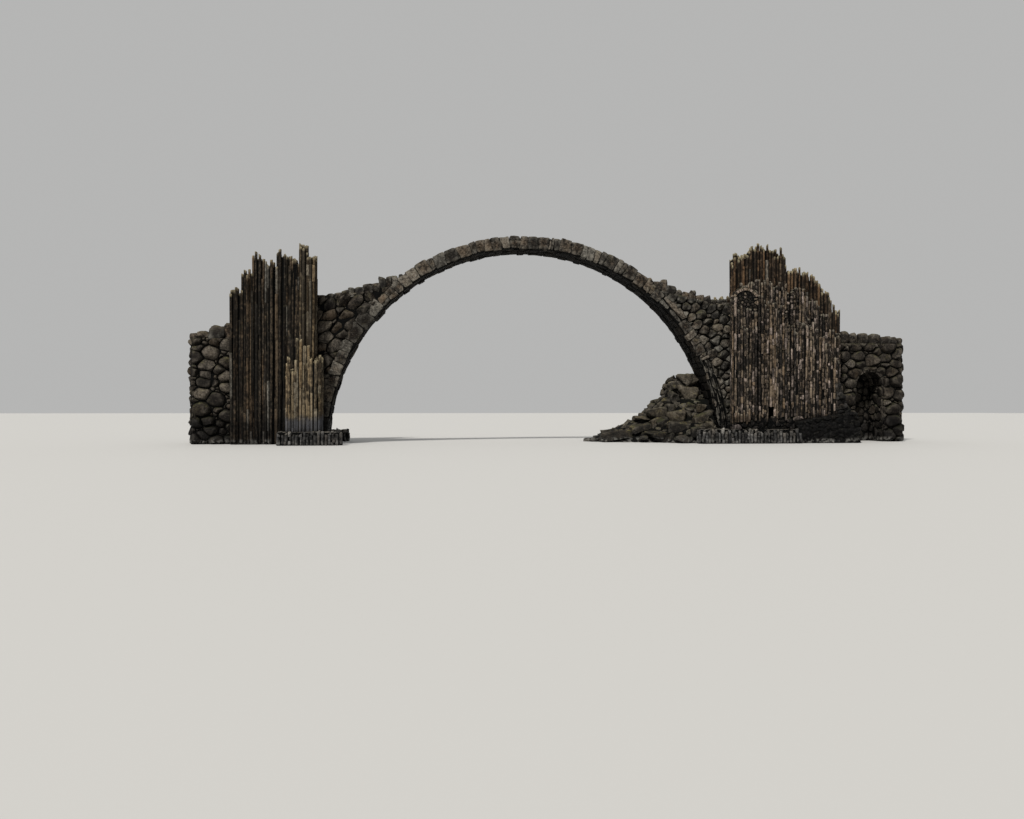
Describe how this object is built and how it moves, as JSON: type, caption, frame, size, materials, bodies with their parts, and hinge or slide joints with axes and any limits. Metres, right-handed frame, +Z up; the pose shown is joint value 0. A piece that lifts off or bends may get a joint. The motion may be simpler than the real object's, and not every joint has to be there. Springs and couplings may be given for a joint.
{
  "type": "stone moon bridge",
  "caption": "Moon bridge of dark basalt: a slender half-round arch over water with stepped flanks, between abutments faced with upright stone columns, with a rock wing and grotto.",
  "frame": {"origin": "middle of the footprint at the still-water level, on the path's centre line", "axes": "+X along the bridge towards the rock wing with the grotto, +Y through the bridge towards the back bank, +Z up"},
  "size_m": [35, 6, 10.07],
  "materials": {
    "bastion_stone": "rubble set in a half-round head",
    "column_dark": "dark basalt columns in shade",
    "column_light": "weathered tan-grey basalt columns",
    "column_mixed": "basalt columns with grey and tan weathering",
    "damp_stone": "damp dark basalt at the waterline",
    "heap_rock": "rough slabs with yellowish lichen",
    "kerb_stone": "rough edge stones with pale lichen",
    "paving_stone": "worn basalt paving",
    "ring_stone": "rough split basalt, radial blocks",
    "rubble_stone": "rough coursed basalt rubble",
    "tread_stone": "worn basalt treads",
    "wing_rock": "large rounded boulders"
  },
  "bodies": {
    "root": {"arch_crown_left": "ring_stone", "arch_crown_right": "ring_stone", "arch_foot_left": "ring_stone", "arch_foot_right": "ring_stone", "arch_haunch_left": "ring_stone", "arch_haunch_right": "ring_stone", "arch_steps_left": "tread_stone", "arch_steps_right": "tread_stone", "crown_paving": "paving_stone", "kerb_back_left": "kerb_stone", "kerb_back_right": "kerb_stone", "kerb_front_left": "kerb_stone", "kerb_front_right": "kerb_stone", "left_abutment_core": "rubble_stone", "left_approach_steps": "tread_stone", "left_pilaster_back": "column_light", "left_pilaster_front": "column_light", "left_pilaster_skirt_back": "column_light", "left_pilaster_skirt_front": "column_light", "left_plinth": "damp_stone", "left_screen_back": "column_dark", "left_screen_front": "column_dark", "left_spandrel_back": "rubble_stone", "left_spandrel_front": "rubble_stone", "left_wing_wall": "wing_rock", "right_abutment_core": "rubble_stone", "right_approach_steps": "tread_stone", "right_bastion_back": "bastion_stone", "right_bastion_front": "bastion_stone", "right_footing": "damp_stone", "right_front_columns_back": "column_mixed", "right_front_columns_front": "column_mixed", "right_grotto_wall": "wing_rock", "right_middle_columns_back": "column_mixed", "right_middle_columns_front": "column_mixed", "right_plinth": "damp_stone", "right_rear_columns_back": "column_mixed", "right_rear_columns_front": "column_mixed", "right_spandrel_back": "rubble_stone", "right_spandrel_front": "rubble_stone", "right_wing_jambs": "wing_rock", "right_wing_vault": "wing_rock", "rock_heap_lower": "heap_rock", "rock_heap_middle": "heap_rock", "rock_heap_upper": "heap_rock"}
  },
  "joints": []
}
